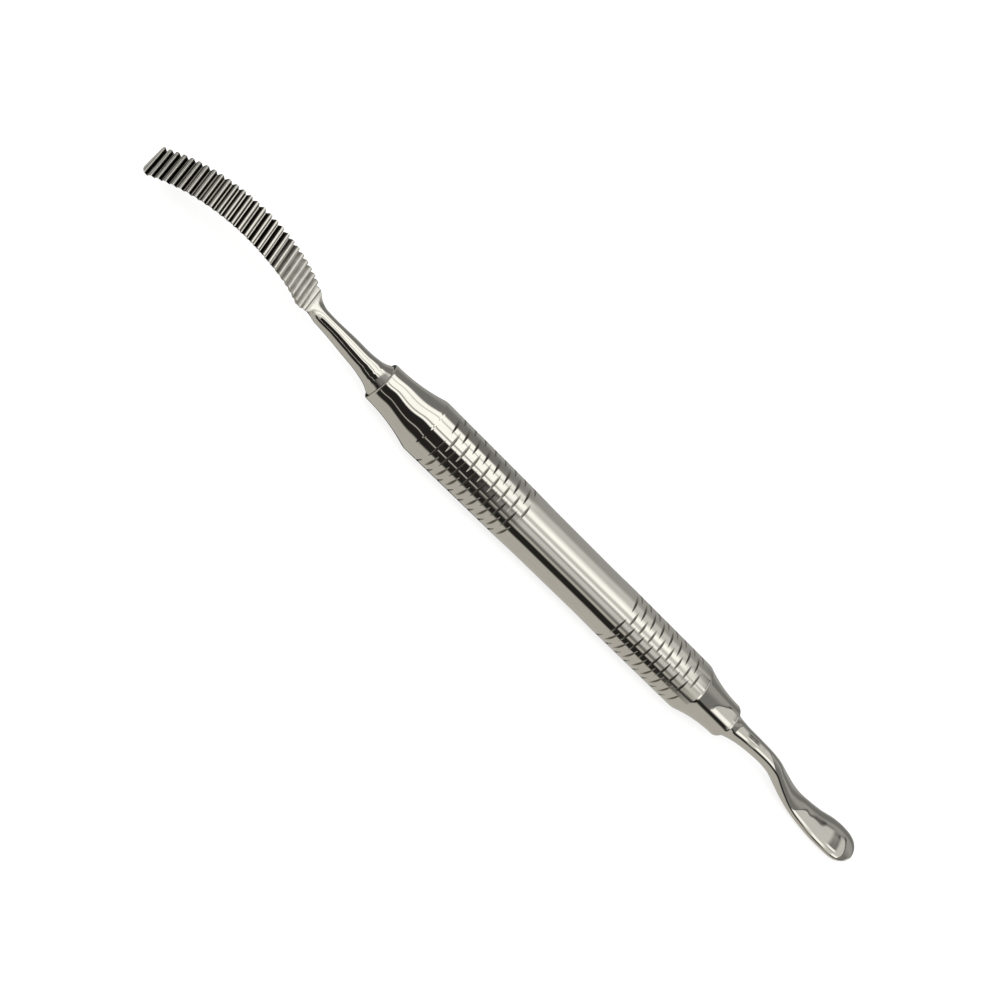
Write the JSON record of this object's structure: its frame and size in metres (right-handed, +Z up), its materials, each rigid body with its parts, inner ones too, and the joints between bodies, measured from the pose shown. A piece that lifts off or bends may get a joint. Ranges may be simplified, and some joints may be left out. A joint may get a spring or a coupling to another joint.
{
  "type": "bone file",
  "caption": "Double-ended hand instrument: hollow round handle with slit grips, a bowed toothed file blade at one end and a smooth spoon-shaped end at the other.",
  "frame": {"origin": "middle of the underside of the whole instrument as it lies on its handle and on the back of its spoon", "axes": "+X along the handle's axis towards the spoon end, +Z up as it lies"},
  "size_m": [0.176, 0.01, 0.012],
  "materials": {
    "handle_steel": "polished stainless steel",
    "file_steel": "polished shank, satin filed blade",
    "spoon_steel": "polished stainless steel"
  },
  "bodies": {
    "root": {"handle": "handle_steel", "file_end": "file_steel", "spoon_end": "spoon_steel"}
  },
  "joints": []
}
